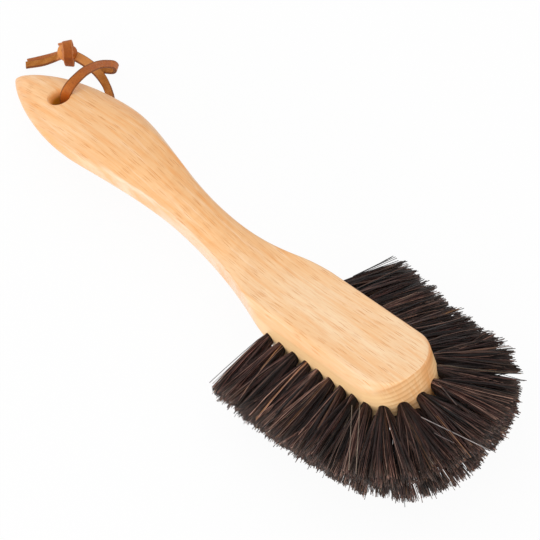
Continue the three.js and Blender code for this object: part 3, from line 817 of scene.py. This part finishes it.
def seat(row, place):
    """Mouth of a tuft's hole, the way out of it, and along and across the row."""
    turn = min(max(place / HEAD_RADIUS, -math.pi / 2), math.pi / 2)
    straight = max(0, abs(place) - ARC_HALF)
    out = np.array([math.cos(turn), math.sin(turn), 0])
    mouth = out * HEAD_RADIUS + (FRONT_CENTRE - straight, 0, -row["depth"])
    droop = math.radians(row["droop"])
    axis = out * math.cos(droop) - np.array([0, 0, math.sin(droop)])
    along = np.array([-math.sin(turn), math.cos(turn), 0])
    return mouth, axis, along, np.cross(axis, along)


def places(row):
    """Places along a row from the head's front; the rear tufts stand a little wider apart."""
    start = -PITCHES_HALF + row["shift"]
    even = [(start + i) * PITCH for i in range(int(PITCHES_HALF - start) + 1)]
    return [p + math.copysign(REAR_STRETCH, p) * smoothstep(abs(p), ROW_HALF - 3 * PITCH, ROW_HALF)
            for p in even]


def lathe(profile, sides, centre, axis, along):
    """A closed turned solid: profile rows are (radius, height along the axis)."""
    other = np.cross(axis, along)
    points = []
    for r, z in profile:
        for j in range(sides):
            a = 2 * math.pi * j / sides
            points.append(centre + axis * z + r * (along * math.cos(a) + other * math.sin(a)))
    faces = tube_faces(len(profile), sides)
    return np.array(points), faces, [0] * len(faces)


def hole_cutters():
    bore, wide, deep = HANG_DIAMETER / 2, HANG_EASE_WIDE, HANG_EASE_DEEP
    half = thickness(HANG_FROM_END) / 2
    side = []
    for i in range(HANG_EASE_STEPS + 1):
        a = math.pi / 2 * i / HANG_EASE_STEPS
        side.append((bore + wide - wide * math.cos(a), half - deep + deep * math.sin(a) + CUT_PROUD))
    side.append((bore + wide + FLARE_WIDE, half + FLARE_HIGH + CUT_PROUD))
    profile = [(r, -z) for r, z in side[::-1]] + side
    centre = np.array([HANG_FROM_END - BLOCK_LENGTH, 0, middle(HANG_FROM_END)])
    parts = [lathe(profile, HANG_SIDES, centre, np.array([0, 0, 1.0]), np.array([1.0, 0, 0]))]
    r = TUFT_HOLE_DIAMETER / 2
    for row in ROWS.values():
        for place in places(row):
            mouth, axis, along, _ = seat(row, place)
            parts.append(lathe([(r, -TUFT_HOLE_DEPTH), (r, r)], TUFT_HOLE_SIDES, mouth, axis, along))
    return joined(parts)


def make_block():
    points, faces = block_mesh()
    body = make("beech_body", points, faces, [BEECH], at_rest=True)
    outward(body)
    points, faces, _ = hole_cutters()
    cutter = make("hole_cutter", points, faces, [BEECH], at_rest=True)
    outward(cutter)
    cut = body.modifiers.new("holes", "BOOLEAN")
    cut.object, cut.operation, cut.solver = cutter, "DIFFERENCE", "EXACT"
    view = body.evaluated_get(bpy.context.evaluated_depsgraph_get())
    mesh = bpy.data.meshes.new_from_object(view)
    body.modifiers.clear()
    body.data = mesh
    bpy.data.objects.remove(cutter)
    mesh.set_sharp_from_angle(angle=math.radians(BLOCK_CREASE))
    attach(body, "brush")
    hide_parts("beech_block")


make_block()


# Tufts: bundles of single hairs, each a thin three-sided rod

# Hairs, clumps and strands a tuft
HAIRS, FRONT_HAIRS, CLUMPS, STRANDS = 290, 370, 14, 56
HAIR_RADIUS = (0.11, 0.18)
HAIR_ANGLES = (0, 2 * math.pi / 3, 4 * math.pi / 3)
# Places of a hair's rings: two in millimetres from its hole's mouth, then shares of its length
HAIR_RINGS = (-2.4, 0.3, 0.12, 0.38, 0.7, 1.0)
TUFT_ROOT_RADIUS, TUFT_SWELL, TUFT_TIP_HEIGHT, TUFT_OVERLAP = 1.95, 0.5, 7.0, 2.0
# How fast a tuft spreads along its length, and the share of the last tuft's spread to the rear
SPREAD_POWER, REAR_SPREAD = 1.12, 0.45
# How far ends are drawn to the middles of their strands and clumps
STRAND_PULL, CLUMP_PULL = 0.45, 0.15
# Unevenness of the ends' places, lengths and bow, in tufts, clumps, strands and hairs
TUFT_END, CLUMP_END, STRAND_END, HAIR_END = 0.35, 0.12, 0.17, 0.05
TUFT_LONG, CLUMP_LONG, STRAND_LONG, HAIR_LONG = 0.3, 0.4, 0.35, 0.35
CLUMP_BOW, STRAND_BOW, HAIR_BOW = 0.6, 1.0, 0.3
# Shares of hairs that are short, long or astray, and by how much
SHORT_SHARE, SHORT_BY = 0.06, (1, 6)
LONG_SHARE, LONG_BY = 0.03, (0.6, 2)
STRAY_SHARE, STRAY_ALONG, STRAY_UP = 0.012, 0.35, (-1, 2.5)
# Shares of hairs, with the darkest and lightest colour of each kind
HAIR_TONES = (
    (0.43, (13, 7, 6), (38, 21, 17)),
    (0.38, (48, 26, 22), (84, 51, 44)),
    (0.17, (94, 65, 56), (152, 117, 102)),
    (0.016, (112, 76, 48), (146, 104, 68)),
    (0.004, (176, 150, 122), (204, 184, 160)),
)
# Share of hairs that differ from their strand, unevenness of the strands, and the paler colour of the
# cut ends, a painted highlight
OWN_TONE_SHARE, STRAND_TONE_UNEVEN, END_HIGHLIGHT_TONE = 0.65, 0.4, (116, 90, 70)
# Painted light and shade: brightness of a tuft's hair at its middle, painted lit, and at its flanks,
# painted shaded between the tufts
TUFT_PAINTED_LIGHT_AND_SHADE = (1.2, 0.4)
# Millimetres that the ends of the rear tufts lean to the front
REAR_LEAN = {"left": 0.8, "right": 3.0}
# Degrees that the hair leans to the front at the head's corners, the run behind these over which
# this fades, and the places along the row between which the far side's droop comes in
FRONT_LEAN, FRONT_LEAN_RUN = 21, 26
FAR_DROOP_RUN = (-8, 16)
# Hair is longer right of the front and at the left corner (size, place and span) and at the left
# rear, and shorter between these two
LONGER_ENDS = ((3.8, -7.0, 11.0), (1.8, 13.0, 5.0))
REAR_LONGER = 1.8
FAR_SHORTER, FAR_SHORTER_IN, FAR_SHORTER_OUT = 2.0, (19, 29), (58, 48)
# A narrow parting near the left front corner: a point and the normal of its plane, places along
# the row that it parts, and half its width
PARTING_POINT = np.array((12.99, 29.42, -16.05))
PARTING_NORMAL = np.array((0.323, -0.6538, -0.6843))
PARTING_FROM, PARTING_TO, PARTING_HALF = 8, 34, 1.1
# Least height of the hair above the table
HAIR_CLEAR = 0.2
# Single pale hairs over the front tufts and a wisp at the left rear: start, end, radius and colour
LOOSE_HAIRS = (
    ((7.9, -6.3, -11.2), (37.0, 0.3, -15.2), 0.17, (176, 166, 164)),
    ((17.2, -7.9, -12.3), (26.1, -6.1, -13.3), 0.12, (120, 108, 106)),
    ((11.8, -2.2, -11.7), (34.9, -5.9, -15.1), 0.2, (146, 104, 74)),
    ((1.1, 7.3, -9.2), (14.0, 5.3, -11.0), 0.14, (112, 98, 94)),
    ((-12.4, -20.3, -6.2), (8.9, -39.1, -10.4), 0.15, (150, 132, 116)),
    ((-11.3, -17.5, -6.2), (12.3, -38.6, -10.8), 0.15, (156, 138, 120)),
    ((-74.7, 25.0, -12.5), (-77.8, 42.9, -18.4), 0.16, (30, 20, 17)),
    ((-74.4, 25.7, -12.5), (-77.5, 44.3, -19.0), 0.15, (44, 28, 24)),
    ((-74.4, 27.0, -13.0), (-77.9, 43.8, -18.4), 0.16, (24, 15, 13)),
    ((-74.6, 27.8, -13.5), (-76.7, 44.3, -19.2), 0.15, (60, 42, 35)),
    ((-74.8, 24.6, -12.4), (-77.6, 40.7, -17.9), 0.16, (34, 22, 18)),
    ((-74.6, 29.1, -14.0), (-75.9, 44.2, -19.9), 0.15, (28, 18, 15)),
)


def even_square(disc):
    """Points of a unit disc spread evenly over a square."""
    x, y = disc.T
    chord = np.sqrt(np.maximum(1 - x * x, 0.004))
    return np.stack([2 / math.pi * (x * chord + np.arcsin(x)), np.clip(y / chord, -1, 1)], 1)


def in_disc(rng, n):
    angle, far = rng.uniform(0, 2 * math.pi, n), np.sqrt(rng.uniform(0, 0.99, n))
    return np.stack([far * np.cos(angle), far * np.sin(angle)], 1)


def nearest(points, middles):
    return ((points[:, None] - middles[None]) ** 2).sum(2).argmin(1)


def turned(a, b, angle):
    """Two directions, square to each other, turned in their plane."""
    c, s = math.cos(angle), math.sin(angle)
    return a * c - b * s, b * c + a * s


def hair_way(row, place):
    """The mouth of a tuft's hole, the way of its hair outside it, and along and across that."""
    mouth, axis, along, across = seat(row, place)
    share = min(abs(place) / ARC_HALF, 1 - smoothstep(abs(place), ARC_HALF, ARC_HALF + FRONT_LEAN_RUN))
    lean = math.copysign(math.radians(FRONT_LEAN) * share, place)
    axis, along = turned(axis, along, lean)
    droop = math.radians(row["far_droop"]) * smoothstep(place, *FAR_DROOP_RUN)
    axis, across = turned(axis, across, droop)
    return mouth, axis, along, across


def reach_at(row, place):
    more = sum(size * math.exp(-((place - peak) / span) ** 2) for size, peak, span in LONGER_ENDS)
    more += REAR_LONGER * smoothstep(place, ROW_HALF - 2 * PITCH, ROW_HALF)
    far = smoothstep(place, *FAR_SHORTER_IN) * smoothstep(place, *FAR_SHORTER_OUT)
    return row["length"] + more - FAR_SHORTER * far


def hair_tones(root, strand, rng):
    """The colours of a tuft's hairs, with painted light and shade across the tuft, and of their cut
    ends, with a painted highlight.
    """
    n = len(root)
    kinds, shares = len(HAIR_TONES), [t[0] for t in HAIR_TONES]
    pick = rng.choice(kinds, STRANDS, p=shares)[strand]
    own_tone = rng.random(n) < OWN_TONE_SHARE
    pick[own_tone] = rng.choice(kinds, own_tone.sum(), p=shares)
    low, high = (np.array([srgb(*t[i]) for t in HAIR_TONES])[pick] for i in (1, 2))
    tone = lerp(low, high, rng.random((n, 1)))
    tone[:, :3] *= np.exp(rng.normal(0, STRAND_TONE_UNEVEN, STRANDS))[strand][:, None]
    # Painted light in a tuft's middle and painted shade on its flanks
    tone[:, :3] *= lerp(*TUFT_PAINTED_LIGHT_AND_SHADE, root[:, :1] ** 2)
    # Ends mixed paler at random: a painted highlight
    return tone, lerp(tone, np.array(srgb(*END_HIGHLIGHT_TONE)), rng.uniform(0, 0.5, (n, 1)) ** 2 * 2)


def tuft_hairs(row, place, rng):
    """Rings of points for one tuft's hairs, and the colour at each ring."""
    mouth, axis, along, across = hair_way(row, place)
    in_hole = seat(row, place)[1]

    def tip(where):
        m, a, _, _ = hair_way(row, where)
        return m + a * reach_at(row, where)
    to_next = [tip(place + step) - tip(place) for step in (PITCH / 2, -PITCH / 2)]
    wide = [np.linalg.norm(step) for step in to_next]
    n = FRONT_HAIRS if abs(place) < ARC_HALF else HAIRS
    root, clumps = in_disc(rng, n), in_disc(rng, CLUMPS)
    strands = in_disc(rng, STRANDS)
    clump, strand = nearest(root, clumps), nearest(root, strands)

    # Ends: an even patch, drawn together in strands that cross and clumps that lean and part
    spread = lerp(even_square(root), even_square(strands)[strand], STRAND_PULL)
    spread = lerp(spread, even_square(clumps)[clump], CLUMP_PULL)
    spread += rng.normal(0, CLUMP_END, (CLUMPS, 2))[clump]
    spread += rng.normal(0, STRAND_END, (STRANDS, 2))[strand]
    spread += rng.normal(0, HAIR_END, (n, 2))
    side = np.where(spread[:, 0] > 0, *wide)
    reach_side = side + TUFT_OVERLAP
    if abs(place) > ROW_HALF - PITCH / 4:
        reach_side[spread[:, 0] * place > 0] *= REAR_SPREAD
    end = np.stack([spread[:, 0] * reach_side, spread[:, 1] * TUFT_TIP_HEIGHT / 2], 1)
    end += rng.normal(0, TUFT_END, 2)
    rear = math.copysign(REAR_LEAN["left" if place > 0 else "right"], place)
    end[:, 0] -= rear * smoothstep(abs(place), ROW_HALF - 2 * PITCH, ROW_HALF)

    # Lengths: the ends follow the fan's round outline
    long = reach_at(row, place) + rng.normal(0, TUFT_LONG) + rng.normal(0, HAIR_LONG, n)
    long += np.where(spread[:, 0] > 0, *(step @ axis for step in to_next)) * (end[:, 0] / side) ** 2
    long += rng.normal(0, CLUMP_LONG, CLUMPS)[clump]
    long += rng.normal(0, STRAND_LONG, STRANDS)[strand]
    long -= np.where(rng.random(n) < SHORT_SHARE, rng.uniform(*SHORT_BY, n), 0)
    long += np.where(rng.random(n) < LONG_SHARE, rng.uniform(*LONG_BY, n), 0)
    bow = rng.normal(0, CLUMP_BOW, (CLUMPS, 2))[clump] + rng.normal(0, HAIR_BOW, (n, 2))
    bow += rng.normal(0, STRAND_BOW, (STRANDS, 2))[strand]
    stray = rng.random(n) < STRAY_SHARE
    end[stray] += np.stack([rng.normal(0, STRAY_ALONG, stray.sum()) * side[stray],
                            rng.uniform(*STRAY_UP, stray.sum())], 1)
    if PARTING_FROM < place < PARTING_TO:
        ends = mouth + long[:, None] * axis + end[:, :1] * along + end[:, 1:] * across
        off = (ends - PARTING_POINT) @ PARTING_NORMAL
        push = np.where(off > 0, 1, -1) * np.maximum(0, PARTING_HALF - np.abs(off))
        end[:, 0] += push / (along @ PARTING_NORMAL)

    thin = rng.uniform(*HAIR_RADIUS, n)[:, None]
    turn = rng.uniform(0, 2 * math.pi, n)[:, None]
    tone, end_highlight = hair_tones(root, strand, rng)
    rings = []
    for k, t in enumerate(HAIR_RINGS):
        out = np.full(n, t) if k < 2 else t * long
        share = np.clip(out / long, 0, 1)
        swell = TUFT_SWELL * (1 - np.exp(-np.clip(out, 0, None))) * (1 - share)
        flat = root * (TUFT_ROOT_RADIUS + swell)[:, None]
        flat = flat + (end - root * TUFT_ROOT_RADIUS) * (share ** SPREAD_POWER)[:, None]
        flat = flat + bow * (share * (1 - share) * 2)[:, None]
        way = axis if k else in_hole
        centre = mouth + out[:, None] * way + flat[:, :1] * along + flat[:, 1:] * across
        ring = [centre + thin * (np.cos(turn + a) * along + np.sin(turn + a) * across)
                for a in HAIR_ANGLES]
        rings.append(np.stack(ring, 1))
    tones = [tone] * (len(HAIR_RINGS) - 1) + [end_highlight]
    return np.stack(rings, 1).reshape(n, -1, 3), np.stack(tones, 1)


def loose_hairs(side):
    rings, tones = [], []
    for start, end, r, colour in LOOSE_HAIRS:
        if (start[1] > 0) != (side == "left"):
            continue
        start, end = np.array(start), np.array(end)
        way = unit(end - start)
        along = unit(np.cross(way, (0, 0, 1)))
        across = np.cross(way, along)
        rings.append([lerp(start, end, share) + r * (math.cos(a) * along + math.sin(a) * across)
                      for share in np.linspace(0, 1, len(HAIR_RINGS)) for a in HAIR_ANGLES])
        tones.append([srgb(*colour)] * len(HAIR_RINGS))
    return np.array(rings), np.array(tones)


def make_tufts(row_name, side):
    row = ROWS[row_name]
    rng = np.random.default_rng(row["seed"] + (side == "left"))
    bundles = [tuft_hairs(row, place, rng) for place in places(row)
               if (place >= -PITCH / 4) == (side == "left")]
    if row_name == "upper":
        bundles.append(loose_hairs(side))
    hairs, tones = (np.concatenate(kind) for kind in zip(*bundles))
    # Hair that would reach below the table lies along it
    height = TILT_SIN * hairs[..., 0] + TILT_COS * hairs[..., 2] + REST_Z
    hairs[..., 2] += np.maximum(0, HAIR_CLEAR - height) / TILT_COS
    rod = tube_faces(len(HAIR_RINGS), len(HAIR_ANGLES))
    points, faces, _ = joined((hair, rod, ()) for hair in hairs)
    piece = make(f"hair_{row_name}_{side}", points, faces, [HAIR], at_rest=True)
    layer = piece.data.color_attributes.new("tone", "FLOAT_COLOR", "POINT")
    layer.data.foreach_set("color", np.repeat(tones, len(HAIR_ANGLES), 1).astype(np.float32).ravel())
    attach(piece, "brush")
    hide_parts(f"tufts_{row_name}_{side}")


for row_name in ROWS:
    for side in ("left", "right"):
        make_tufts(row_name, side)

for name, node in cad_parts.items():
    if name.startswith("anchor_"):
        node.data.materials.clear()
        node.data.materials.append(STEEL)


# Floor and light

FLOOR_HALF, FLOOR_WHITE, FLOOR_GLOW = 3000, (0.9, 0.9, 0.9, 1), 0.94
# The world's strength on the object and where the camera sees it
WORLD_STRENGTH, WORLD_SEEN = 1.13, 1.0
# Name, place in metres, and power of each soft disk lamp, which faces the origin
LAMPS = ("key", (-0.55, -1.42, 0.22), 11.5), ("fill", (1.42, -0.55, 0.28), 6.6)
LAMP_SIZE = 1.0


def make_floor():
    s = Shader("floor_white")
    seen = s.add("LightPath").outputs
    direct = s.math("MAXIMUM", seen["Is Camera Ray"], s.math(
        "MAXIMUM", seen["Is Glossy Ray"], seen["Is Transmission Ray"]))
    matt = s.add("BsdfDiffuse", {"Color": FLOOR_WHITE}).outputs[0]
    glow = s.add("Emission").outputs[0]
    both = s.add("MixShader", {0: s.times(direct, FLOOR_GLOW), 1: matt, 2: glow}).outputs[0]
    s.add("OutputMaterial", {"Surface": both})
    corners = [(x * FLOOR_HALF, y * FLOOR_HALF, 0) for x, y in ((-1, -1), (1, -1), (1, 1), (-1, 1))]
    floor = make("floor", corners, [(0, 1, 2, 3)], [s.owner])


def make_lamp(name, place, power):
    data = bpy.data.lights.new(name, "AREA")
    data.shape, data.size, data.energy = "DISK", LAMP_SIZE, power
    lamp = placed(name, data)
    lamp.location = place
    lamp.rotation_euler = Vector(place).to_track_quat("Z", "Y").to_euler()


def make_world():
    s = Shader("studio", "worlds")
    seen = s.add("LightPath").outputs["Is Camera Ray"]
    strength = s.add("MapRange", {"Value": seen, "To Min": WORLD_STRENGTH, "To Max": WORLD_SEEN})
    back = s.add("Background", {"Strength": strength.outputs["Result"]})
    s.add("OutputWorld", {"Surface": back.outputs[0]})
    bpy.context.scene.world = s.owner


make_floor()
make_world()
for lamp in LAMPS:
    make_lamp(*lamp)
bpy.context.scene.view_settings.view_transform = "Standard"
